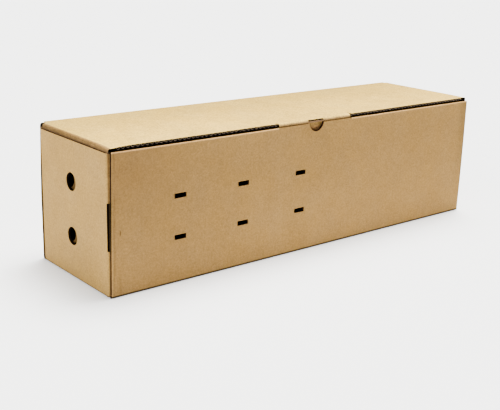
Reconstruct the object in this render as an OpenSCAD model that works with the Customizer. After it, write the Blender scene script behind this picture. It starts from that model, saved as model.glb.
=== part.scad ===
// Flower shipping box: one die-cut sheet of corrugated board, folded into a long tray with a hinged lid.
// +X runs along the length, the front panel faces -Y, and the box stands on z = 0, centred on the origin.

/* [Box] */
// Length between the outer faces of the two end panels
box_len = 724; // [600:1:900]
// Depth from the front face to the back face
box_depth = 195; // [170:1:260]
// Height of the front, back and end panels
wall_h = 200; // [180:1:260]

/* [Board] */
// Thickness of the corrugated board
board_t = 4; // [3.2:0.1:5]
// Thickness of each facing paper
liner_t = 0.4; // [0.3:0.05:0.6]
// Thickness of the wavy paper between the facings
medium_t = 0.35; // [0.3:0.05:0.5]
// Distance from one flute crest to the next
flute_pitch = 7.4; // [6:0.1:9]
// How far the open flutes reach in from a cut edge
flute_reach = 12; // [6:1:20]
// Inner radius of a fold
fold_r = 1.5; // [1:0.1:2.5]

/* [Front panel] */
// How far each side edge of the front and back panels stops short of the end panels' outer faces
side_inset = 1.5; // [0.5:0.1:3]
// Width of a tie slot
tie_slot_w = 20; // [12:0.5:30]
// Height of a tie slot
tie_slot_h = 6; // [5:0.5:10]
// Distance of the first column of tie slots from the left end
tie_slot_start = 111.5; // [60:0.5:140]
// Distance between the columns of tie slots
tie_slot_step = 111.5; // [60:0.5:120]
// Number of columns of tie slots
tie_slot_columns = 3; // [1:1:4]
// Height of the lower row of tie slots
tie_slot_low = 65.5; // [40:0.5:80]
// Distance between the two rows of tie slots
tie_slot_rise = 60.5; // [30:0.5:80]
// Radius of the thumb notch in the top edge
notch_r = 14; // [10:0.5:20]
// How far the centre of the notch lies above the top edge
notch_rise = 1.5; // [0:0.5:4]

/* [End panels] */
// Diameter of an air hole
vent_d = 26.5; // [15:0.5:36]
// Distance of the air holes from the front face
vent_set = 105; // [60:1:120]
// Height of the lower air hole
vent_low = 57; // [40:1:80]
// Distance between the two air holes
vent_rise = 80; // [50:0.5:100]
// Width of the corner flaps glued behind the front and back panels
corner_flap_w = 48; // [25:1:70]
// Gap between a corner flap and the panel it is glued to
glue_gap = 0.3; // [0.2:0.1:1]
// Height of the lower end of the slot in each corner crease
crease_slot_low = 65; // [40:1:80]
// Length of the slot in each corner crease
crease_slot_len = 66; // [30:1:90]
// How far that slot reaches past the bend on either side
crease_slot_bite = 0.6; // [0.2:0.1:2]

/* [Lid] */
// Gap between the top of the walls and the lid's end folds, which rest over them
lid_rest = 0.3; // [0.2:0.1:1.5]
// How far the lid's cut front edge stays behind the front face
lid_front_inset = 1.2; // [0:0.1:3]
// Clearance between the lid's hinge edge and the top of the back panel
hinge_gap = 0.3; // [0.2:0.1:0.6]
// Width of the tuck tab at the middle of the lid's front edge
tab_w = 147; // [80:1:200]
// Length of the tuck tab below its fold
tab_len = 34; // [26:1:40]
// Corner radius of the tuck tab
tab_corner_r = 12; // [4:1:16]
// How far the tuck tab leans into the box, in degrees
tab_lean = 7; // [6:0.5:10]
// Gap between the tuck tab and the back of the front panel
tab_gap = 0.5; // [0.3:0.1:1]
// Width of the cut on each side of the tuck tab
tab_relief_w = 1.6; // [1:0.1:4]
// Depth of that cut past the start of the fold
tab_relief_d = 3; // [1:0.5:8]
// Height of the slit in the tab's fold above the thumb notch
thumb_slit_h = 1.6; // [1:0.1:3]
// Gap between the lid's ears and the end panels
ear_gap = 0.4; // [0.3:0.1:1]
// Distance of the rear ends of the lid's end folds from the back face
fold_rear_set = 7.5; // [6:0.5:10]
// Distance of an ear's rear edge from the back face
ear_rear_set = 12; // [10:1:20]
// Room between the ears' round front edge and the front corner flaps
ear_swing_room = 6; // [1:0.5:10]
// Height of the ears' lower edge
ear_foot = 30; // [10:1:60]

/* [Hidden] */
$fn = 64;

board_colour = "#c9a878";
lid_colour = "#dcc79c";

// Overshoot of a cutting shape past the face that it opens
cut = 1;
fold_out = fold_r + board_t;
end_x = box_len / 2;
front_y = -box_depth / 2;
back_y = box_depth / 2;
side_x = end_x - side_inset;

// Corner flaps: the outer face of the front pair, and where each corner bend meets its end panel
flap_y = front_y + board_t + glue_gap;
bend_y = flap_y + fold_out;
flap_foot = fold_out + glue_gap;

// Lid: its faces, the crease at the back and the outer face of an ear
lid_z = wall_h + lid_rest + fold_r;
lid_top = lid_z + board_t;
lid_front = front_y + lid_front_inset;
lid_bend_z = lid_top - fold_out;
hinge_y = back_y - board_t / 2;
hinge_z = lid_z + board_t / 2;
ear_x = end_x - board_t - ear_gap;
// The lid's folds bulge out past the ears and the tab by most of a board's thickness, over the tops of the walls
fold_bulge = 0.7 * board_t;
fold_rear = back_y - fold_rear_set;
lid_half = ear_x + fold_bulge - fold_out;
ear_rear = back_y - ear_rear_set;
ear_r = hinge_y - (flap_y + board_t) - ear_swing_room;
tab_face_y = front_y + board_t + tab_gap;
tab_bend_y = tab_face_y - fold_bulge + fold_out;
// Turn of the bend, from the lid down, at which the thumb slit is cut
thumb_slit_turn = 74;
// How far the fold is wider than the tab on each side, and how far the tab and the ears run up into their folds
fold_swell = 0.1;
fold_lap = 2;

// Flute section: half the space between the facings, and the wave of the medium within it
core_half = board_t / 2 - liner_t;
wave_half = core_half - medium_t / 2;
// Share of the pitch that stays open beside a facing, and the steps along that opening
flute_open = 0.72;
flute_steps = [-1, -0.5, 0, 0.5, 1];

// Board bent round the Z axis, from the +X side towards the +Y side
module bend(run, turn = 90) {
    rotate_extrude(angle = turn)
        translate([fold_r, 0])
            square([board_t, run]);
}

// Board standing along X, drawn as (x, z), with its outer face at y
module board_along_x(y) {
    translate([0, y + board_t, 0])
        rotate([90, 0, 0])
            linear_extrude(board_t)
                children();
}

// Board standing along Y, drawn as (y, z), with its lower x face at x
module board_along_y(x) {
    translate([x, 0, 0])
        rotate([90, 0, 90])
            linear_extrude(board_t)
                children();
}

// Height of the medium's surface at a distance from the bottom of a flute
function medium_at(u) = medium_t / 2 - wave_half * cos(360 * u / flute_pitch);

// Outline of one open flute, between the medium and the facing on the given side
function flute_outline(centre, side) =
    let (half = flute_open * flute_pitch / 2)
    concat(
        [for (s = flute_steps) [centre + s * half, side * medium_at(s * half)]],
        [[centre + half, side * core_half], [centre - half, side * core_half]]
    );

// Open flutes of a cut edge, drawn as (along the edge, through the board) from u = 0 to run
module flute_row(run) {
    half_pitch = flute_pitch / 2;
    count = floor((run - half_pitch) / flute_pitch);
    start = (run - half_pitch - (count - 1) * flute_pitch) / 2;
    for (i = [0 : count - 1]) {
        polygon(flute_outline(start + i * flute_pitch, 1));
        polygon(flute_outline(start + half_pitch + i * flute_pitch, -1));
    }
}

// Fold from the front panel down to the floor
module long_wall_fold() {
    translate([-side_x, front_y + fold_out, fold_out])
        rotate([0, -90, 180])
            rotate([0, 0, 90])
                bend(2 * side_x);
}

module tie_slots() {
    for (column = [0 : tie_slot_columns - 1], row = [0, 1])
        translate([
            -end_x + tie_slot_start + column * tie_slot_step - tie_slot_w / 2,
            tie_slot_low + row * tie_slot_rise - tie_slot_h / 2
        ])
            square([tie_slot_w, tie_slot_h]);
}

module thumb_notch() {
    translate([0, wall_h + notch_rise])
        circle(notch_r);
}

module front_panel() {
    board_along_x(front_y)
        difference() {
            translate([-side_x, fold_out])
                square([2 * side_x, wall_h - fold_out]);
            tie_slots();
            thumb_notch();
        }
    long_wall_fold();
}

module back_panel() {
    board_along_x(back_y - board_t)
        translate([-side_x, fold_out])
            square([2 * side_x, lid_z - hinge_gap - fold_out]);
    mirror([0, 1, 0])
        long_wall_fold();
}

module floor_panel() {
    half_x = end_x - fold_out;
    half_y = back_y - fold_out;
    translate([-half_x, -half_y, 0])
        cube([2 * half_x, 2 * half_y, board_t]);
}

module vents() {
    for (row = [0, 1])
        translate([front_y + vent_set, vent_low + row * vent_rise])
            circle(d = vent_d);
}

// Corner bend and glued flap at the front of the left end
module corner_flap() {
    bend_x = -end_x + fold_out;
    height = wall_h - flap_foot;
    translate([bend_x, bend_y, flap_foot])
        rotate([0, 0, 180])
            bend(height);
    translate([bend_x, flap_y, flap_foot])
        cube([corner_flap_w, board_t, height]);
}

// Slot along the corner crease, with the end panel's flutes open towards it
module crease_slot() {
    edge_y = bend_y + crease_slot_bite;
    translate([-end_x - cut, flap_y - glue_gap / 2, crease_slot_low])
        cube([
            cut + fold_out + crease_slot_bite,
            edge_y - flap_y + glue_gap / 2,
            crease_slot_len
        ]);
    translate([-end_x + board_t / 2, edge_y + flute_reach, crease_slot_low])
        rotate([0, -90, 0])
            rotate([90, 0, 0])
                linear_extrude(flute_reach + cut / 2)
                    flute_row(crease_slot_len);
}

module left_end() {
    difference() {
        union() {
            board_along_y(-end_x)
                difference() {
                    translate([bend_y, fold_out])
                        square([-2 * bend_y, wall_h - fold_out]);
                    vents();
                }
            for (rear = [0, 1])
                mirror([0, rear, 0])
                    corner_flap();
        }
        for (rear = [0, 1])
            mirror([0, rear, 0])
                crease_slot();
    }
    // Fold from the end panel to the floor
    translate([-end_x + fold_out, -bend_y, fold_out])
        rotate([90, 0, 0])
            rotate([0, 0, 180])
                bend(-2 * bend_y);
}

module tray() {
    color(board_colour) {
        floor_panel();
        front_panel();
        back_panel();
        for (right = [0, 1])
            mirror([right, 0, 0])
                left_end();
    }
}

// Top of the lid up to its folds, with open flutes along its cut front edge
module lid_top_panel() {
    tab_half = tab_w / 2 + tab_relief_w;
    cut_run = lid_half - tab_half;
    difference() {
        translate([0, 0, lid_z])
            linear_extrude(board_t)
                difference() {
                    translate([-lid_half, lid_front])
                        square([2 * lid_half, hinge_y - lid_front]);
                    translate([-tab_half, lid_front - cut])
                        square([2 * tab_half, tab_bend_y - lid_front + cut]);
                    for (side = [-1, 1])
                        translate([side * (tab_half - tab_relief_w / 2), tab_bend_y])
                            square([tab_relief_w, 2 * tab_relief_d], center = true);
                }
        for (start = [-lid_half, tab_half])
            translate([start, lid_front + flute_reach, hinge_z])
                rotate([90, 0, 0])
                    linear_extrude(flute_reach + cut)
                        flute_row(cut_run);
    }
}

// Half-round crease edge that turns on the top of the back panel
module hinge_edge() {
    translate([-lid_half, hinge_y, hinge_z])
        rotate([90, 0, 90])
            linear_extrude(2 * lid_half)
                intersection() {
                    circle(d = board_t);
                    translate([0, -board_t / 2])
                        square(board_t);
                }
}

// Tab below its fold, drawn as (across, down), with the lap inside the fold at negative y
module tab_outline() {
    side = fold_swell + tab_corner_r;
    shoulder = tab_len - tab_corner_r;
    translate([fold_swell, -fold_lap])
        square([tab_w - 2 * fold_swell, fold_lap + shoulder]);
    translate([side, shoulder])
        square([tab_w - 2 * side, tab_corner_r]);
    for (x = [side, tab_w - side])
        translate([x, shoulder])
            circle(tab_corner_r);
}

// Tuck tab behind the front panel, its fold, and the slit in the fold above the thumb notch
module tuck_tab() {
    translate([-tab_w / 2, tab_bend_y, lid_bend_z])
        rotate([0, -90, 180])
            difference() {
                bend(tab_w);
                rotate([0, 0, thumb_slit_turn])
                    translate([fold_r - cut, -thumb_slit_h / 2, tab_w / 2 - notch_r])
                        cube([board_t + 2 * cut, thumb_slit_h, 2 * notch_r]);
            }
    translate([-tab_w / 2, tab_face_y, lid_bend_z])
        rotate([tab_lean - 90, 0, 0])
            linear_extrude(board_t)
                tab_outline();
}

// Ear inside the end panel: its front edge is an arc about the hinge, and the air holes go through it
module ear_outline() {
    difference() {
        intersection() {
            translate([hinge_y, hinge_z])
                circle(ear_r, $fn = 180);
            translate([front_y, ear_foot])
                square([ear_rear - front_y, lid_bend_z + fold_lap - ear_foot]);
        }
        vents();
    }
}

module right_ear() {
    translate([lid_half, fold_rear, lid_bend_z])
        rotate([90, 0, 0])
            bend(fold_rear - lid_front);
    board_along_y(ear_x - board_t)
        ear_outline();
}

module lid() {
    color(lid_colour) {
        lid_top_panel();
        hinge_edge();
        tuck_tab();
        for (left = [0, 1])
            mirror([left, 0, 0])
                right_ear();
    }
}

tray();
lid();
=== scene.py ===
import math
import bpy
from mathutils import Matrix, Vector


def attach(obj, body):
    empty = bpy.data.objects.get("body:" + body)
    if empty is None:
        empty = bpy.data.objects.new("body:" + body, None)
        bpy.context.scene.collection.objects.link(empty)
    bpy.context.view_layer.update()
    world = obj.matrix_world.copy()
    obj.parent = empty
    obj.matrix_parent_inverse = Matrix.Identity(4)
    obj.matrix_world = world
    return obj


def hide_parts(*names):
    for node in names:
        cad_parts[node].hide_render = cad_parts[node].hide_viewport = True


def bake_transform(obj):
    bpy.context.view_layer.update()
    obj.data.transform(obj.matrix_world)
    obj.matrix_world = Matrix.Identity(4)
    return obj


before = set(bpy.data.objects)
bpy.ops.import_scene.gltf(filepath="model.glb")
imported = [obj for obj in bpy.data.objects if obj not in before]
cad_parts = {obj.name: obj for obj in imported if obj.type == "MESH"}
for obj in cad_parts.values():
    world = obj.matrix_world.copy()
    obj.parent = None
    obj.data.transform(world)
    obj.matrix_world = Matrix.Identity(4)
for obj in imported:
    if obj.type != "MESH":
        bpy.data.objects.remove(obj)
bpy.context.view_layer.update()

# the sizes of the box are in millimetres, those of the stage in metres
board = {"thick": 4.0, "paper": 0.4, "medium": 0.3, "pitch": 7.4, "foldOut": 5.5, "foldSteps": 8}


def mm(*values):
    scaled = tuple(v * 0.001 for v in values)
    return scaled if len(scaled) > 1 else scaled[0]


def near(a, b, slack=0.02):
    return abs(a - b) < slack


# selecting and shaping

def alone(obj):
    if bpy.context.object and bpy.context.object.mode != "OBJECT":
        bpy.ops.object.mode_set(mode="OBJECT")
    bpy.ops.object.select_all(action="DESELECT")
    obj.select_set(True)
    bpy.context.view_layer.objects.active = obj


def done():
    bpy.ops.object.mode_set(mode="OBJECT")


def applyPlace(obj):
    alone(obj)
    bpy.ops.object.transform_apply(location=True, rotation=True, scale=True)


def pick(obj, test, kind="EDGE"):
    # selects the vertices that pass the test and stays in edit mode
    alone(obj)
    bpy.ops.object.mode_set(mode="EDIT")
    bpy.ops.mesh.select_mode(type="VERT")
    bpy.ops.mesh.select_all(action="DESELECT")
    done()
    for vert in obj.data.vertices:
        vert.select = test(vert.co * 1000)
    bpy.ops.object.mode_set(mode="EDIT")
    bpy.ops.mesh.select_mode(type=kind)


def pickFaces(obj, test):
    alone(obj)
    bpy.ops.object.mode_set(mode="EDIT")
    bpy.ops.mesh.select_mode(type="FACE")
    bpy.ops.mesh.select_all(action="DESELECT")
    done()
    for face in obj.data.polygons:
        face.select = test(face.center * 1000)
    bpy.ops.object.mode_set(mode="EDIT")


def allOf(obj):
    alone(obj)
    bpy.ops.object.mode_set(mode="EDIT")
    bpy.ops.mesh.select_all(action="SELECT")


def cutLines(obj, axis, places):
    allOf(obj)
    normal = [0, 0, 0]
    normal["XYZ".index(axis)] = 1
    for place in places:
        bpy.ops.mesh.select_all(action="SELECT")
        bpy.ops.mesh.bisect(plane_co=[n * mm(place) for n in normal], plane_no=normal)
    done()


def push(*value):
    bpy.ops.mesh.extrude_region_move(TRANSFORM_OT_translate={"value": mm(*value)})


def turn(centre, axis, degrees, steps=0):
    bpy.ops.mesh.spin(steps=steps or board["foldSteps"], angle=-math.radians(degrees), center=mm(*centre), axis=axis)


def shift(obj, test, *value):
    pick(obj, test, "VERT")
    bpy.ops.transform.translate(value=mm(*value))
    done()


def tighten(obj, test, value, centre):
    # a rounded fold drawn together towards its outer corner
    pick(obj, test, "VERT")
    bpy.ops.transform.resize(value=value, center_override=mm(*centre))
    done()


def nudge(obj, test, value, reach):
    # moves a corner and, less and less, what lies around it
    pick(obj, test, "VERT")
    bpy.ops.transform.translate(value=mm(*value), use_proportional_edit=True, proportional_edit_falloff="SMOOTH",
                                proportional_size=mm(reach))
    done()


def flatSheet(name, low, high):
    bpy.ops.object.select_all(action="DESELECT")
    bpy.ops.mesh.primitive_plane_add(size=1)
    sheet = bpy.context.object
    sheet.name = name
    sheet.data.name = name
    sheet.scale = mm(high[0] - low[0], high[1] - low[1], 1000)
    sheet.location = mm((low[0] + high[0]) / 2, (low[1] + high[1]) / 2, low[2])
    applyPlace(sheet)
    return sheet


def block(name, low, high):
    bpy.ops.object.select_all(action="DESELECT")
    bpy.ops.mesh.primitive_cube_add(size=1)
    cube = bpy.context.object
    cube.name = name
    cube.scale = mm(*(b - a for a, b in zip(low, high)))
    cube.location = mm(*((a + b) / 2 for a, b in zip(low, high)))
    applyPlace(cube)
    return cube


def drum(name, radius, depth, centre, axis, corners=96, ends="NGON"):
    bpy.ops.object.select_all(action="DESELECT")
    bpy.ops.mesh.primitive_cylinder_add(vertices=corners, radius=mm(radius), depth=mm(depth), end_fill_type=ends)
    cylinder = bpy.context.object
    cylinder.name = name
    cylinder.rotation_euler = {"X": (0, math.pi / 2, 0), "Y": (math.pi / 2, 0, 0), "Z": (0, 0, 0)}[axis]
    cylinder.location = mm(*centre)
    applyPlace(cylinder)
    return cylinder


def lay(obj, place, turned=(0, 0, 0)):
    obj.rotation_euler = [math.radians(a) for a in turned]
    obj.location = mm(*place)
    applyPlace(obj)
    return obj


def modify(obj, kind, **values):
    alone(obj)
    mod = obj.modifiers.new(kind.lower(), kind)
    for key, value in values.items():
        setattr(mod, key, value)
    bpy.ops.object.modifier_apply(modifier=mod.name)


def carve(obj, cutter):
    modify(obj, "BOOLEAN", object=cutter, operation="DIFFERENCE", solver="EXACT", material_mode="TRANSFER")


def drop(*objects):
    for obj in objects:
        bpy.data.meshes.remove(obj.data)


def copyOf(obj, name):
    alone(obj)
    bpy.ops.object.duplicate(linked=False)
    twin = bpy.context.object
    twin.name = name
    twin.data.name = name
    return twin


def mirrored(obj, name):
    twin = copyOf(obj, name)
    allOf(twin)
    bpy.ops.transform.mirror(constraint_axis=(True, False, False), center_override=(0, 0, 0))
    bpy.ops.mesh.flip_normals()
    done()
    return twin


def together(name, pieces):
    alone(pieces[0])
    for piece in pieces:
        piece.select_set(True)
    bpy.ops.object.join()
    whole = bpy.context.object
    whole.name = name
    whole.data.name = name
    return whole


def faceOut(obj, test, direction):
    # makes the normals agree, then turns them all if a known face looks the wrong way
    allOf(obj)
    bpy.ops.mesh.normals_make_consistent(inside=False)
    done()
    known = next(p for p in obj.data.polygons if test(p.center * 1000))
    if known.normal.dot(Vector(direction)) < 0:
        allOf(obj)
        bpy.ops.mesh.flip_normals()
        done()


def insideOf(outer, name):
    # the facing paper inside follows the one outside, a board's thickness in from it
    inner = copyOf(outer, name)
    allOf(inner)
    bpy.ops.transform.shrink_fatten(value=-mm(board["thick"] - board["paper"]), use_even_offset=True)
    done()
    return inner


def thicken(outer, inner, paper):
    # the sides that face the flutes are near-black, painted shade
    for sheet, tones, rim in ((outer, (paper, kraftCutShade), 0), (inner, (kraftCutShade, kraftInside), 1)):
        for tone in tones:
            sheet.data.materials.append(tone)
        modify(sheet, "SOLIDIFY", thickness=mm(board["paper"]), offset=-1.0, use_even_offset=True,
               material_offset=1, material_offset_rim=rim)


def flutes(name, count, run, pitch, halves, paper):
    # one wave of the medium, extruded step by step and then repeated along X; the waves stand in Z
    high = (board["thick"] - 2 * board["paper"] - board["medium"]) / 2
    steps = 8
    wave = flatSheet(name, (0, 0, high), (1, run, high))
    pickFaces(wave, lambda c: True)
    bpy.ops.mesh.delete(type="ONLY_FACE")
    pick(wave, lambda c: c.x > 0.5, "VERT")
    bpy.ops.mesh.delete(type="VERT")
    pick(wave, lambda c: True)
    for i in range(steps):
        a, b = (2 * math.pi * k / steps for k in (i, i + 1))
        push(pitch / steps, 0, high * (math.cos(b) - math.cos(a)))
    done()
    modify(wave, "ARRAY", count=count + halves, use_relative_offset=False, use_constant_offset=True,
           constant_offset_displace=(mm(pitch), 0, 0), use_merge_vertices=True, merge_threshold=0.00005)
    if halves:
        # the last wave is cut in its middle, so that the row ends on the other paper
        allOf(wave)
        bpy.ops.mesh.bisect(plane_co=(mm((count + 0.5) * pitch), 0, 0), plane_no=(1, 0, 0), clear_outer=True)
        done()
    modify(wave, "SOLIDIFY", thickness=mm(board["medium"]), offset=0.0)
    wave.data.materials.append(paper)
    return wave


def paint(obj, name, sockets):
    # one plain finish all over
    material = bpy.data.materials.new(name)
    material.use_nodes = True
    for socket, value in sockets.items():
        material.node_tree.nodes["Principled BSDF"].inputs[socket].default_value = value
    obj.data.materials.append(material)


# paper

# front, end and lid are one kraft board, tinted apart as painted light and shade for the way each face is lit
paperTones = {"front": (0.462, 0.299, 0.130), "end": (0.460, 0.308, 0.129), "lid": (0.402, 0.281, 0.094),
              "inside": (0.41, 0.275, 0.111), "medium": (0.46, 0.37, 0.28), "cut": (0.042, 0.025, 0.016),
              "rim": (0.035, 0.023, 0.015)}


def kraft(name, tone, waveAxis="X", marks=(), grain=1.0):
    # fine fibres, mottling, cloudy patches, faint washboard lines over the flutes, then the marks: wear, and painted
    # light and shade
    material = bpy.data.materials.new(name)
    material.use_nodes = True
    nodes, links = material.node_tree.nodes, material.node_tree.links
    shader = nodes["Principled BSDF"]
    where = nodes.new("ShaderNodeTexCoord").outputs["Object"]

    def noise(scale, detail, stretch=(1, 1, 1), rough=0.6):
        mapping = nodes.new("ShaderNodeMapping")
        mapping.inputs["Scale"].default_value = stretch
        links.new(where, mapping.inputs["Vector"])
        tex = nodes.new("ShaderNodeTexNoise")
        tex.inputs["Scale"].default_value = scale
        tex.inputs["Detail"].default_value = detail
        tex.inputs["Roughness"].default_value = rough
        links.new(mapping.outputs["Vector"], tex.inputs["Vector"])
        return tex.outputs["Fac"]

    def maths(operation, a, b=0.0):
        op = nodes.new("ShaderNodeMath")
        op.operation = operation
        for socket, value in zip(op.inputs, (a, b)):
            if isinstance(value, (int, float)):
                socket.default_value = value
            else:
                links.new(value, socket)
        return op.outputs["Value"]

    def centred(value, amount):
        return maths("MULTIPLY", maths("SUBTRACT", value, 0.5), amount)

    def ramp(value, start, end):
        span = nodes.new("ShaderNodeMapRange")
        span.interpolation_type = "SMOOTHSTEP"
        span.inputs["From Min"].default_value = start
        span.inputs["From Max"].default_value = end
        links.new(value, span.inputs["Value"])
        return span.outputs["Result"]

    parts = nodes.new("ShaderNodeSeparateXYZ")
    links.new(where, parts.inputs["Vector"])
    along = {axis: parts.outputs[axis] for axis in "XYZ"}
    along["both X"] = maths("ABSOLUTE", along["X"])
    along["both Y"] = maths("ABSOLUTE", along["Y"])
    ribs = maths("SINE", maths("MULTIPLY", along[waveAxis], 2 * math.pi / mm(board["pitch"])))
    fine = noise(900, 3, rough=0.7)
    shade = maths("ADD", 1.0, centred(fine, 0.55 * grain))
    for scale, detail, amount in ((340, 2, 0.42), (120, 2, 0.16), (34, 3, 0.12), (6, 2, 0.10)):
        shade = maths("ADD", shade, centred(noise(scale, detail), amount * grain))
    shade = maths("ADD", shade, maths("MULTIPLY", ribs, 0.006))
    tint = nodes.new("ShaderNodeHueSaturation")
    tint.inputs["Color"].default_value = (*tone, 1)
    links.new(shade, tint.inputs["Value"])
    links.new(maths("ADD", 1.0, centred(noise(20, 2), -0.10)), tint.inputs["Saturation"])
    colour = tint.outputs["Color"]
    for mark in marks:
        amount = None
        for axis, start, end in mark["where"]:
            reach = ramp(along[axis], mm(start), mm(end))
            amount = maths("MULTIPLY", amount, reach) if amount else reach
        if "spot" in mark:
            midY, midZ, outer, inner = mark["spot"]
            away = [maths("POWER", maths("SUBTRACT", along[axis], mm(mid)), 2.0)
                    for axis, mid in (("Y", midY), ("Z", midZ))]
            amount = maths("MULTIPLY", amount, ramp(maths("SQRT", maths("ADD", *away)), mm(outer), mm(inner)))
        if "broken" in mark:
            scale, stretch, low, high = mark["broken"]
            amount = maths("MULTIPLY", amount, ramp(noise(scale, 3, stretch), low, high))
        stain = nodes.new("ShaderNodeMixRGB")
        stain.blend_type = "MULTIPLY"
        stain.inputs["Color2"].default_value = (*mark["tint"], 1)
        links.new(amount, stain.inputs["Fac"])
        links.new(colour, stain.inputs["Color1"])
        colour = stain.outputs["Color"]
    links.new(colour, shader.inputs["Base Color"])
    links.new(maths("ADD", 0.78, centred(fine, 0.2)), shader.inputs["Roughness"])
    shader.inputs["Specular IOR Level"].default_value = 0.15
    relief = maths("ADD", maths("MULTIPLY", fine, 0.05), maths("MULTIPLY", ribs, 0.02))
    relief = maths("ADD", relief, maths("MULTIPLY", noise(9, 1), 0.9))
    bump = nodes.new("ShaderNodeBump")
    bump.inputs["Strength"].default_value = 0.6
    bump.inputs["Distance"].default_value = 0.001
    links.new(relief, bump.inputs["Height"])
    links.new(bump.outputs["Normal"], shader.inputs["Normal"])
    return material


longFootShade = {"tint": (0.12, 0.12, 0.15), "where": [("Z", 4.0, 1.7)]}  # painted shade along the floor contact
# the ends' foot, painted shade along the floor contact too
endFootShade = {"tint": (0.40, 0.41, 0.46), "where": [("Z", 3.4, 1.2)]}
rubbed = (46, (5, 1, 0.3), 0.46, 0.66)  # scale, stretch and range of the noise that breaks a mark up
frontMarks = [
    # painted shade: darker towards the left, at the top left, at the right end and along its edge
    {"tint": (0.90, 0.895, 0.90), "where": [("X", -60, -330)]},
    {"tint": (0.93, 0.92, 0.94), "where": [("X", -230, -320), ("Z", 90, 180)]},
    {"tint": (0.85, 0.86, 0.87), "where": [("X", 335, 358), ("Z", 50, 140)]},
    {"tint": (0.75, 0.78, 0.82), "where": [("X", 358.8, 360.3)]},
    # painted highlight along the cut top edge and the left edge, and painted shade on the top edge under the tab's
    # fold
    {"tint": (1.8, 1.8, 1.95), "where": [("Z", 197.1, 198.5), ("both X", 74, 77)]},
    {"tint": (0.74, 0.72, 0.71), "where": [("Z", 198.1, 199.2), ("both X", 76, 74)]},
    {"tint": (1.2, 1.2, 1.24), "where": [("X", -358.0, -359.5), ("Z", 130, 60)]},
    # rubbed streaks and a nick beside the left edge
    {"tint": (0.79, 0.77, 0.77), "where": [("X", -358.0, -355.0), ("X", -351.5, -354.5)], "broken": rubbed},
    {"tint": (0.79, 0.77, 0.77), "where": [("X", -350.0, -347.5), ("X", -344.0, -346.5)], "broken": rubbed},
    {"tint": (0.56, 0.53, 0.50),
     "where": [("X", -347.4, -346.4), ("X", -344.6, -345.6), ("Z", 85, 88), ("Z", 94, 91)]},
    longFootShade]
endMarks = [
    {"tint": (0.55, 0.50, 0.52), "where": [("both Y", 90.9, 92.7)]},  # painted shade deep in the corner creases
    {"tint": (0.54, 0.54, 0.52), "where": [("both Y", 90.9, 92.7), ("Z", 62, 68), ("Z", 136, 129)]},
    {"tint": (0.50, 0.47, 0.47), "where": [("Y", 88.4, 90.8)]},  # painted shade, the rear ones a little wider
    {"tint": (1.07, 1.07, 1.08), "where": [("Z", 196.2, 197.6)]},  # painted highlight along the top edge
    endFootShade]
lidMarks = [
    {"tint": (1.26, 1.26, 1.26), "where": [("Y", 90, -95)]},  # paler towards the front
    {"tint": (0.52, 0.475, 0.60), "where": [("X", -356.6, -358.8)]},  # end folds darker: crushed paper, and painted shade where the fold turns under
    {"tint": (0.52, 0.475, 0.60), "where": [("X", 354.6, 356.8)]},
    {"tint": (0.52, 0.49, 0.60), "where": [("both X", 354.6, 356.8), ("Z", 203.4, 197.6), ("Z", 190, 195)]},
    # painted shade, near-black, at the back end of each end fold
    {"tint": (0.05, 0.045, 0.045), "where": [("Y", 82.8, 84.2), ("both X", 356.4, 357.2), ("Z", 200.2, 201.4)]},
    # painted highlight along the front edge and the tab's fold, and painted shade on the front edge over the tab
    {"tint": (1.24, 1.28, 1.40), "where": [("Y", -94.6, -95.8), ("both X", 74, 76)]},
    {"tint": (1.18, 1.20, 1.26), "where": [("Y", -91.0, -93.0), ("both X", 75, 73), ("Z", 201, 203)]},
    {"tint": (0.68, 0.65, 0.92), "where": [("Y", -94.5, -95.3), ("both X", 75, 73)]},
    # painted shade on the lips of the slit, and painted light on the tab inside the notch, which lies in the fold's
    # shade
    {"tint": (0.60, 0.59, 0.66), "where": [("Y", -93.5, -94.3), ("both X", 16, 15.4), ("Z", 201.4, 202.2)]},
    {"tint": (0.95, 0.90, 1.12), "where": [("Z", 202.5, 201.5), ("both X", 22, 9)]},
    {"tint": (1.34, 1.24, 1.46), "where": [("Z", 198.5, 190.0), ("Z", 180, 187), ("both X", 22, 9)]},
    # painted shade on the ears, behind the air holes
    *({"tint": (0.42, 0.38, 0.41), "where": [("both X", 352, 354)], "spot": (8.5, z, 21, 13.5)} for z in (59.5, 138)),
    {"tint": (0.15, 0.16, 0.25), "where": [("Y", -95.8, -96.2)]}]  # painted shade on the cut front edge itself
creaseMarks = [{"tint": (0.87, 0.94, 0.72), "where": [("Z", 203.0, 205.4)]}]  # painted light: the lid's lit tone on top
insideMarks = [{"tint": (0.12, 0.10, 0.10), "where": [("Y", -94.2, -94.7)]}]  # painted shade at the lid's front edge
cutMarks = [
    # the near-black painted shade lifted to brown in the corner creases below and above their slots
    {"tint": (2.6, 2.4, 2.5), "where": [("both X", 355, 357), ("Z", 66, 60)]},
    {"tint": (2.2, 2.0, 2.1), "where": [("both X", 355, 357), ("Z", 130, 136), ("Z", 199.5, 197)]},
    # and in the thumb notch and the tie slots
    {"tint": (2.6, 2.2, 2.2), "where": [("both X", 19, 17), ("Z", 183, 186)]},
    {"tint": (2.0, 1.8, 1.9), "where": [("X", -12, -17), ("X", -268, -263), ("Z", 56, 61), ("Z", 136, 131)]}]
kraftFront = kraft("kraftFront", paperTones["front"], "X", frontMarks, 1.15)
kraftBack = kraft("kraftBack", paperTones["front"], "X", [longFootShade], 1.15)
kraftCrease = kraft("kraftCrease", paperTones["front"], "X", creaseMarks, 1.15)
kraftEnd = kraft("kraftEnd", paperTones["end"], "Z", endMarks, 1.2)
kraftLid = kraft("kraftLid", paperTones["lid"], "X", lidMarks, 2.3)
kraftInside = kraft("kraftInside", paperTones["inside"], "X", insideMarks)
kraftMedium = kraft("kraftMedium", paperTones["medium"])
# near-black painted shade lining the walls of the air holes
kraftRimShade = kraft("kraftRimShade", paperTones["rim"])
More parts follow.
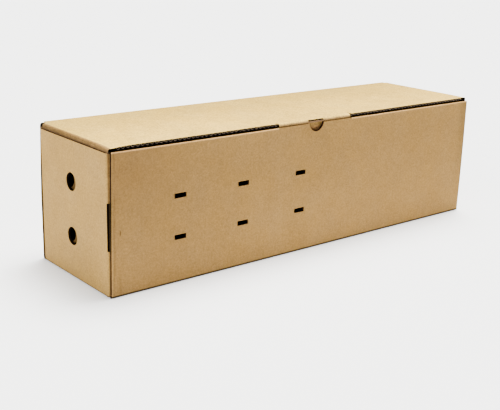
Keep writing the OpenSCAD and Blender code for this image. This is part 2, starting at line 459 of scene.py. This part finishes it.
# near-black painted shade for the tray's medium, the sides facing the flutes, and the walls of slots, slit and crease
# ends
kraftCutShade = kraft("kraftCutShade", paperTones["cut"], "X", cutMarks)
print("papers", len(bpy.data.materials))

# cutters that several pieces share

vents = {"radius": 12.9, "y": 3.2, "heights": (61.0, 139.4), "earShift": (0, 12, 2), "through": 760}
ties = {"halfWide": 9.6, "halfHigh": 3.4, "columns": (-250.0, -139.6, -29.0), "rows": (66.7, 126.2),
        "y": (-110, -85)}
notch = {"radius": 15.0, "deep": 25, "y": -97.5, "z": 201.5, "slitTurn": 52, "slitHalf": 0.9, "slitDeep": 4.5}
airHoles = together("airHoles", [
    drum("airHole", vents["radius"], vents["through"], (0, vents["y"], z), "X", 72) for z in vents["heights"]])
earHoles = lay(copyOf(airHoles, "earHoles"), vents["earShift"])
tieSlots = together("tieSlots", [
    block("tieSlot", (x - ties["halfWide"], ties["y"][0], z - ties["halfHigh"]),
          (x + ties["halfWide"], ties["y"][1], z + ties["halfHigh"]))
    for x in ties["columns"] for z in ties["rows"]])
thumbNotch = drum("thumbNotch", notch["radius"], notch["deep"], (0, notch["y"], notch["z"]), "Y", 72)
# the walls of the tie slots take the near-black painted shade
tieSlots.data.materials.append(kraftCutShade)

# tray: floor, ends and corner flaps, modelled as a quarter and mirrored

end = {"x": 362.0, "bendX": 356.5, "bendY": 87.7, "flapWide": 48.0, "crisp": 0.45, "rises": (0.3, 59.2, 66, 65.4, 1.4),
       "foot": 5.8, "skirt": 5}
creaseGap = {"x": (355.9, 365), "y": (90.2, 93.35), "z": (65, 131)}
corners = [(sx, sy) for sx in (-1, 1) for sy in (-1, 1)]
endSheet = flatSheet("endSheet", (0, 0, 0), (end["bendX"], 92, 0))
cutLines(endSheet, "Y", [end["bendY"]])
pick(endSheet, lambda c: near(c.x, end["bendX"]) and c.y < end["bendY"] + 0.02)
turn((end["bendX"], 0, board["foldOut"]), (0, -1, 0), 90)
for rise in end["rises"]:
    push(0, 0, rise)
done()
# corner bend, and the flap glued behind the long panels
pick(endSheet, lambda c: near(c.x, end["x"]) and near(c.y, end["bendY"]) and c.z > end["foot"] - 0.1)
turn((end["bendX"], end["bendY"], 0), (0, 0, 1), 90)
push(-end["flapWide"], 0, 0)
done()
pick(endSheet, lambda c: near(c.z, end["foot"]) and c.x > end["bendX"] - 0.02 and c.y > end["bendY"] - 0.02)
push(0, 0, -end["skirt"])
done()
modify(endSheet, "MIRROR", use_axis=(True, True, False), use_clip=True, merge_threshold=0.00002)
allOf(endSheet)
bpy.ops.mesh.remove_doubles(threshold=0.00002)
done()
faceOut(endSheet, lambda c: near(c.z, 0), (0, 0, -1))
endInside = insideOf(endSheet, "endInside")
thicken(endSheet, endInside, kraftEnd)
for side in (1, -1):
    tighten(endSheet, lambda c: (side * c.x > end["bendX"] + 0.1 and 0.02 < c.z < board["foldOut"] + 0.05
                                 and abs(c.y) < end["bendY"] + 0.02),
            (end["crisp"], 1, end["crisp"]), (side * end["x"], 0, 0))
creaseSlots = together("creaseSlots", [
    block("creaseSlot", *zip(sorted(sx * x for x in creaseGap["x"]), sorted(sy * y for y in creaseGap["y"]),
                             creaseGap["z"]))
    for sx, sy in corners])
# and so do the walls of the crease slots
creaseSlots.data.materials.append(kraftCutShade)
for paper in (endSheet, endInside):
    carve(paper, creaseSlots)
    carve(paper, airHoles)

# the medium of an end panel, its flutes level, and the pressed rims of its air holes; the medium and the rims are
# near-black, painted shade
endWave = {"count": 26, "pitch": 191.0 / 26.5, "half": 87.0, "x": 360, "z": 6}
endFlutes = flutes("endFlutes", endWave["count"], 2 * endWave["half"], endWave["pitch"], 1, kraftCutShade)
leftFlutes = lay(copyOf(endFlutes, "leftFlutes"), (-endWave["x"], -endWave["half"], endWave["z"]), (0, -90, 0))
lay(endFlutes, (endWave["x"], -endWave["half"], endWave["z"]), (0, -90, 0))
for wave in (endFlutes, leftFlutes):
    carve(wave, airHoles)
rim = {"deep": 3.7, "x": 359.9, "wall": 0.3}
holeRim = drum("holeRim", vents["radius"], rim["deep"], (rim["x"], vents["y"], 0), "X", 72, "NOTHING")
modify(holeRim, "SOLIDIFY", thickness=mm(rim["wall"]), offset=1.0)
holeRim.data.materials.append(kraftRimShade)
holeRims = []
for z in vents["heights"]:
    rightRim = lay(copyOf(holeRim, "rightRim"), (0, 0, z))
    holeRims += [rightRim, mirrored(rightRim, "leftRim")]
# the crease is an open roll at the rear corners, near-black inside with painted shade
curl = {"radius": 5, "long": 5, "place": (-354.2, 92.5, 202.2), "flat": 0.54, "wall": 0.3, "deep": 4}
creaseEnd = drum("creaseEnd", curl["radius"], curl["long"], curl["place"], "X", 24)
tighten(creaseEnd, lambda c: True, (1, 1, curl["flat"]), curl["place"])
creaseEnd.data.materials.append(kraftCrease)
creaseEnd.data.materials.append(kraftCutShade)
curlX, curlY, curlZ = curl["place"]
pickFaces(creaseEnd, lambda c: near(c.x, curlX - curl["long"] / 2))
bpy.ops.mesh.inset(thickness=mm(curl["wall"]))
push(curl["deep"], 0, 0)
done()
pickFaces(creaseEnd, lambda c: math.hypot(c.y - curlY, (c.z - curlZ) / curl["flat"]) < curl["radius"] - 0.25)
bpy.context.object.active_material_index = 1
bpy.ops.object.material_slot_assign()
done()
creaseEnds = [creaseEnd, mirrored(creaseEnd, "rightCreaseEnd")]
# the medium of the four corner flaps, near-black with painted shade
flapWave = {"wide": 50.0, "x": 356.8, "y": 91.2}
oneFlap = flutes("oneFlap", endWave["count"], flapWave["wide"], endWave["pitch"], 1, kraftCutShade)
flapFlutes = []
for sx, sy in corners:
    startX = sx * flapWave["x"] - (flapWave["wide"] if sx > 0 else 0)
    flapFlutes.append(lay(copyOf(oneFlap, "flapFlutes"), (startX, sy * flapWave["y"], endWave["z"]), (0, -90, -90)))
# the corners are pressed full at the foot
cornerFoot = {"radius": 5.35, "high": 6.6, "z": 3.6, "round": 1.5}
oneFoot = drum("oneFoot", cornerFoot["radius"], cornerFoot["high"], (0, 0, cornerFoot["z"]), "Z", 32)
pick(oneFoot, lambda c: c.z < 1, "EDGE")
bpy.ops.mesh.bevel(offset=mm(cornerFoot["round"]), segments=3)
done()
oneFoot.data.materials.append(kraftEnd)
feet = [lay(copyOf(oneFoot, "cornerFoot"), (sx * end["bendX"], sy * end["bendY"], 0)) for sx, sy in corners]
drop(holeRim, oneFlap, oneFoot)
print("tray ends", len(endSheet.data.polygons))

# tray: front and back panels with their folds

long = {"sideX": 360.5, "frontY": -97.5, "backY": 97.5, "frontTop": 199.6, "backTop": 201.5, "pressed": 0.7,
        "frontLean": {60: 0.9, 100: 1.5, 130: 1.9, 198.0: 2.9, 199.6: 2.9},
        "backLean": {130: 0.7, 199.9: 2.4, 201.5: 2.4}}
longWave = {"count": 97, "pitch": 720.6 / 97.5, "high": 191.8, "corner": (-360.3, -95.5, 6)}


def longPanel(name, top, paper):
    sheet = flatSheet(name, (-long["sideX"], 0, 0), (long["sideX"], top - board["foldOut"], 0))
    lay(sheet, (0, long["frontY"], board["foldOut"]), (90, 0, 0))
    cutLines(sheet, "X", [-357, -300, -180, -60, 60, 180, 300, 357])
    cutLines(sheet, "Z", [60, 100, 130, top - 1.6])
    pick(sheet, lambda c: near(c.z, board["foldOut"]))
    turn((0, long["frontY"] + board["foldOut"], board["foldOut"]), (1, 0, 0), 90)
    done()
    faceOut(sheet, lambda c: c.z > 150, (0, -1, 0))
    inside = insideOf(sheet, name + "Inside")
    thicken(sheet, inside, paper)
    tighten(sheet, lambda c: c.y < long["frontY"] + board["foldOut"] - 0.05 and 0.02 < c.z < board["foldOut"] + 0.05,
            (1, end["crisp"], end["crisp"]), (0, long["frontY"], 0))
    return sheet, inside


frontSheet, frontInside = longPanel("frontSheet", long["frontTop"], kraftFront)
backSheet, backInside = longPanel("backSheet", long["backTop"], kraftBack)
# the die presses the cut top edge of the front panel in a little
shift(frontSheet, lambda c: c.z > long["frontTop"] - 0.05 and c.y < -96, 0, long["pressed"], 0)
# its left edge leans in towards the top, and the back panel's does near the top alone
for papers, leans, side in (((frontSheet, frontInside), long["frontLean"], -1),
                            ((backSheet, backInside), long["backLean"], 1)):
    for paper in papers:
        for height, lean in leans.items():
            shift(paper, lambda c: side * c.x > 358 and near(c.z, height), -side * lean, 0, 0)
# the medium of the long panels, near-black with painted shade
frontFlutes = flutes("frontFlutes", longWave["count"], longWave["high"], longWave["pitch"], 1, kraftCutShade)
lay(frontFlutes, longWave["corner"], (90, 0, 0))
backFlutes = copyOf(frontFlutes, "backFlutes")
# the flutes end on the same leaning lines
for piece, edgeX, edgeZ, slope in ((frontFlutes, -360.3, 0, -0.0145), (backFlutes, 360.3, 100, 0.024)):
    allOf(piece)
    bpy.ops.mesh.bisect(plane_co=mm(edgeX, 0, edgeZ), plane_no=(1, 0, slope), use_fill=True,
                        clear_inner=edgeX < 0, clear_outer=edgeX > 0)
    done()
for piece in (frontSheet, frontInside, frontFlutes):
    carve(piece, tieSlots)
    carve(piece, thumbNotch)
for piece in (backSheet, backInside, backFlutes):
    lay(piece, (0, 0, 0), (0, 0, 180))
print("tray panels", len(frontSheet.data.polygons))

# lid: top, end folds with their ears, tuck tab

hinge = {"y": 95.5, "z": 203.8, "half": 351.6}
lid = {"left": -358.4, "right": 356.4, "crease": 3.0, "creaseTurn": 100, "tuck": 4.5, "foldRear": 90.0,
       "front": -96.3, "top": 205.8, "leftPress": (0, 0, -1.5), "rightPress": (-2.6, 0, 0),
       "tuckRise": 1.4, "insideEnd": 0.8, "insideDown": 1, "insideFront": 1.5}
tab = {"half": 73.5, "relief": 1.6, "reliefDepth": 3.0, "bendY": -90.3, "bendZ": 200.3, "faceY": -93.0, "long": 34.0,
       "lean": math.radians(7), "round": 12.0, "stepIn": 2.8, "stepDown": 0.2}
lidSheet = flatSheet("lidSheet", (lid["left"], lid["front"], lid["top"]), (lid["right"], hinge["y"], lid["top"]))
tabEdge = tab["half"] + tab["relief"]
cutLines(lidSheet, "X", [0] + [s * v for s in (-1, 1) for v in (
    tab["half"], tabEdge, 130, 190, 250, 300, 330, 345, hinge["half"], 355)])
cutLines(lidSheet, "Y", [tab["bendY"], tab["bendY"] + tab["reliefDepth"], -80, -60, -20, 20, 60, lid["foldRear"]])
for spare in (lambda c: abs(c.x) < tabEdge and c.y < tab["bendY"],
              lambda c: tab["half"] < abs(c.x) < tabEdge and c.y < tab["bendY"] + tab["reliefDepth"],
              lambda c: abs(c.x) > hinge["half"] and c.y > lid["foldRear"]):
    pickFaces(lidSheet, spare)
    bpy.ops.mesh.delete(type="FACE")
    done()
pick(lidSheet, lambda c: near(c.y, tab["bendY"]) and abs(c.x) < tab["half"] + 0.02)
turn((0, tab["bendY"], tab["bendZ"]), (1, 0, 0), 90)
done()
faceOut(lidSheet, lambda c: near(c.z, lid["top"]), (0, 0, 1))
lidInside = insideOf(lidSheet, "lidInside")
# both papers go on as the tab, behind the front panel, with two round corners
for paper in (lidSheet, lidInside):
    pick(paper, lambda c: near(c.z, tab["bendZ"] - 0.1, 0.3) and c.y < -91 and abs(c.x) < tab["half"] + 0.02)
    push(0, tab["stepIn"], -tab["stepDown"])
    push(0, math.sin(tab["lean"]) * tab["long"], -math.cos(tab["lean"]) * tab["long"])
    done()
    low = min(v.co.z * 1000 for v in paper.data.vertices)
    pick(paper, lambda c: c.z < low + 0.05 and abs(c.x) > tab["half"] - 0.02, "VERT")
    bpy.ops.mesh.bevel(affect="VERTICES", offset=mm(tab["round"]), segments=6)
    done()
# the outer paper turns over the end panels, tight at the top and then back under itself
under = math.radians(lid["creaseTurn"] - 90)
for side, endX in ((1, lid["right"]), (-1, lid["left"])):
    pick(lidSheet, lambda c: near(c.x, endX) and c.y < lid["foldRear"] + 0.02 and c.z > 205)
    turn((endX, 0, lid["top"] - lid["crease"]), (0, side, 0), lid["creaseTurn"])
    push(-side * lid["tuck"] * math.sin(under), 0, -lid["tuck"] * math.cos(under))
    done()
    shift(lidSheet, lambda c: side * (c.x - endX) > 0.5 and c.z < 200 and c.y < lid["front"] + 0.1,
          0, 0, lid["tuckRise"])
    shift(lidInside, lambda c: near(c.x, endX), -side * lid["insideEnd"], 0, -lid["insideDown"])
shift(lidInside, lambda c: near(c.y, lid["front"]), 0, lid["insideFront"], 0)
# the rear edge goes round the crease
pick(lidSheet, lambda c: near(c.y, hinge["y"]) and c.z > 205)
turn((0, hinge["y"], hinge["z"]), (-1, 0, 0), 90, 5)
done()
faceOut(lidSheet, lambda c: near(c.z, lid["top"], 0.3), (0, 0, 1))
faceOut(lidInside, lambda c: near(c.z, lid["top"] - 3.6, 0.3), (0, 0, 1))
thicken(lidSheet, lidInside, kraftLid)
slitSize = (notch["radius"], notch["slitDeep"], notch["slitHalf"])
thumbSlit = block("thumbSlit", tuple(-s for s in slitSize), slitSize)
slitRise = math.radians(90 - notch["slitTurn"])
foldMid = board["foldOut"] - board["thick"] / 2
lay(thumbSlit, (0, tab["bendY"] - foldMid * math.cos(slitRise), tab["bendZ"] + foldMid * math.sin(slitRise)),
    (notch["slitTurn"] - 90, 0, 0))
# the slit's walls take the near-black painted shade
thumbSlit.data.materials.append(kraftCutShade)
for paper in (lidSheet, lidInside):
    carve(paper, thumbSlit)
lidWave = {"count": 94, "tabCount": 17, "earCount": 23}
lidFlutes = flutes("lidFlutes", lidWave["count"], hinge["y"] - lid["front"] - 0.9, board["pitch"], 1, kraftMedium)
lay(lidFlutes, (-(lidWave["count"] + 0.5) / 2 * board["pitch"], lid["front"] + 0.6, hinge["z"]))
tabRoom = block("tabRoom", (-tabEdge, -110, 190), (tabEdge, tab["bendY"], 220))
carve(lidFlutes, tabRoom)
tabFlutes = flutes("tabFlutes", lidWave["tabCount"], tab["long"] - 0.6, board["pitch"], 1, kraftMedium)
midBoard = board["thick"] / 2
lay(tabFlutes, (-(lidWave["tabCount"] + 0.5) / 2 * board["pitch"], tab["faceY"] + midBoard * math.cos(tab["lean"]),
                tab["bendZ"] - tab["stepDown"] + midBoard * math.sin(tab["lean"])),
    (math.degrees(tab["lean"]) - 90, 0, 0))

# the ear inside each end panel, its front edge an arc about the hinge
ear = {"x": 357.6, "rear": 85.5, "radius": 178.7, "foot": 30.0, "top": 202.3}
earSheet = flatSheet("earSheet", (lid["front"], ear["foot"], 0), (ear["rear"], ear["top"], 0))
lay(earSheet, (ear["x"], 0, 0), (90, 0, 90))
earInside = insideOf(earSheet, "earInside")
thicken(earSheet, earInside, kraftLid)
earRun = ear["rear"] - lid["front"] - 0.4
earFlutes = flutes("earFlutes", lidWave["earCount"], earRun, board["pitch"], 0, kraftMedium)
lay(earFlutes, (ear["x"] - midBoard, lid["front"], ear["foot"] + 0.2), (0, -90, 0))
earTrim = block("earTrim", (350, -130, 10), (362, ear["rear"] - 0.6, 205))
earRound = drum("earRound", ear["radius"], 40, (357, hinge["y"], hinge["z"]), "X", 240)
carve(earTrim, earRound)
earPieces = [earSheet, earInside, earFlutes]
for piece in earPieces:
    carve(piece, earTrim)
    carve(piece, earHoles)
leftEar = [mirrored(piece, "left" + piece.name) for piece in earPieces]

# paper across the crease at the back, from the back panel up on to the lid
strip = {"half": 351, "down": 16, "over": 5, "proud": 0.1, "thick": 0.12}
creasePaper = flatSheet("creasePaper", (-strip["half"], 0, 0), (strip["half"], strip["down"], 0))
lay(creasePaper, (0, long["backY"] + strip["proud"], hinge["z"] - strip["down"]), (90, 0, 0))
pick(creasePaper, lambda c: near(c.z, hinge["z"]))
turn((0, hinge["y"], hinge["z"]), (1, 0, 0), 90, 8)
push(0, -strip["over"], 0)
done()
faceOut(creasePaper, lambda c: near(c.y, long["backY"] + strip["proud"]), (0, 1, 0))
modify(creasePaper, "SOLIDIFY", thickness=mm(strip["thick"]), offset=-1.0)
creasePaper.data.materials.append(kraftCrease)
drop(airHoles, earHoles, tieSlots, thumbNotch, creaseSlots, earTrim, earRound, thumbSlit, tabRoom)
print("lid", len(lidSheet.data.polygons))

trayBoard = together("trayBoard", [
    endSheet, endInside, endFlutes, leftFlutes, *holeRims, *creaseEnds, *feet, frontSheet, frontInside,
    frontFlutes, backSheet, backInside, backFlutes, *flapFlutes])
lidBoard = together("lidBoard", [lidSheet, lidInside, lidFlutes, tabFlutes, *earPieces, *leftEar])

# the left front corner is pressed down, and the right one stands a little in from the end
nudge(lidBoard, lambda c: near(c.x, lid["left"]) and c.y < lid["front"] + 0.1 and c.z > 205, lid["leftPress"], 24)
nudge(lidBoard, lambda c: c.x > lid["right"] + 0.5 and c.y < lid["front"] + 0.1, lid["rightPress"], 40)
# the right end swells out a little at half height
swell = {"out": 2.4, "box": (724, 195, 200)}
bpy.ops.object.select_all(action="DESELECT")
bpy.ops.object.add(type="LATTICE", location=(0, 0, mm(swell["box"][2] / 2)))
cage = bpy.context.object
cage.scale = mm(*swell["box"])
cage.data.points_u, cage.data.points_v, cage.data.points_w = 4, 2, 3
for i, point in enumerate(cage.data.points):
    if i % 4 == 3 and i // 8 == 1:
        point.co_deform.x += swell["out"] / swell["box"][0]
bpy.context.view_layer.update()
modify(trayBoard, "LATTICE", object=cage)
bpy.data.objects.remove(cage)

smoothAngle = math.radians(35)
for obj, node in ((trayBoard, "tray"), (lidBoard, "lid")):
    alone(obj)
    bpy.ops.object.shade_smooth_by_angle(angle=smoothAngle)
    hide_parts(node)
    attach(obj, node)
    print(obj.name, len(obj.data.polygons))
alone(creasePaper)
bpy.ops.object.shade_smooth_by_angle(angle=smoothAngle)
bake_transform(creasePaper)

# floor, light and camera

# a pale light table
floorLook = {"Base Color": (0.56, 0.56, 0.552, 1), "Emission Color": (1, 1, 0.985, 1), "Emission Strength": 0.37,
             "Roughness": 0.9}
bpy.ops.object.select_all(action="DESELECT")
bpy.ops.mesh.primitive_plane_add(size=14)
floor = bpy.context.object
floor.name = "floor"
floor.location.z = mm(-0.2)
paint(floor, "floorPaint", floorLook)

# a black card on the floor before the box, out of sight, takes the far bounce off the front panel
card = {"size": (8, 3.3, 1), "place": (0, -2.3, 0.004)}
bpy.ops.object.select_all(action="DESELECT")
bpy.ops.mesh.primitive_plane_add(size=1)
flag = bpy.context.object
flag.name = "flag"
flag.scale = card["size"]
flag.location = card["place"]
applyPlace(flag)
paint(flag, "flagPaint", {"Base Color": (0.02, 0.02, 0.02, 1), "Roughness": 1.0})
flag.visible_camera = False
flag.visible_shadow = False

# a soft dome: most light from a broad patch overhead, some from the left, a little from the front
domeLobes = {"overhead": ((0.26, 0.09, 0.94), 24, 34.0), "left": ((-0.95, -0.15, 0.24), 4, 2.2),
             "front": ((-0.2, -0.95, 0.25), 4, 0.09)}
world = bpy.data.worlds.new("studio")
bpy.context.scene.world = world
world.use_nodes = True
sky, skyLinks = world.node_tree.nodes, world.node_tree.links
skyWay = sky.new("ShaderNodeTexCoord").outputs["Generated"]
glow = None
for lobeName, (way, spread, strength) in domeLobes.items():
    dot = sky.new("ShaderNodeVectorMath")
    dot.operation = "DOT_PRODUCT"
    dot.inputs[1].default_value = Vector(way).normalized()
    skyLinks.new(skyWay, dot.inputs[0])
    value = dot.outputs["Value"]
    for operation, amount in (("MAXIMUM", 0.0), ("POWER", spread), ("MULTIPLY", strength)):
        op = sky.new("ShaderNodeMath")
        op.operation = operation
        op.inputs[1].default_value = amount
        skyLinks.new(value, op.inputs[0])
        value = op.outputs["Value"]
    op.label = lobeName
    if glow:
        both = sky.new("ShaderNodeMath")
        both.operation = "ADD"
        skyLinks.new(glow, both.inputs[0])
        skyLinks.new(value, both.inputs[1])
        value = both.outputs["Value"]
    glow = value
sky["Background"].inputs["Color"].default_value = (1, 1, 1, 1)
skyLinks.new(glow, sky["Background"].inputs["Strength"])

# the camera stands where the photo was taken
view = {"azimuth": -39.652, "elevation": 16.729, "roll": 1.589, "focal": 902.9, "place": (-0.9315, -1.0686, 0.4704),
        "sensor": 36, "pixels": 500}
camera = bpy.data.objects.new("camera", bpy.data.cameras.new("camera"))
bpy.context.collection.objects.link(camera)
camera.data.sensor_width = view["sensor"]
camera.data.lens = view["focal"] * view["sensor"] / view["pixels"]
camera.data.clip_start = 0.01
azimuth, elevation, roll = (math.radians(view[a]) for a in ("azimuth", "elevation", "roll"))
level = math.cos(elevation)
back = Vector((math.sin(azimuth) * level, -math.cos(azimuth) * level, math.sin(elevation)))
right = (-back).cross(Vector((0, 0, 1))).normalized()
up = right.cross(-back)
tilted = (math.cos(roll) * right + math.sin(roll) * up, math.cos(roll) * up - math.sin(roll) * right, back)
camera.matrix_world = Matrix.Translation(view["place"]) @ Matrix(tilted).transposed().to_4x4()
bpy.context.scene.camera = camera
bpy.context.scene.view_settings.view_transform = "AgX"
bpy.context.scene.view_settings.look = "AgX - High Contrast"

bpy.context.view_layer.update()
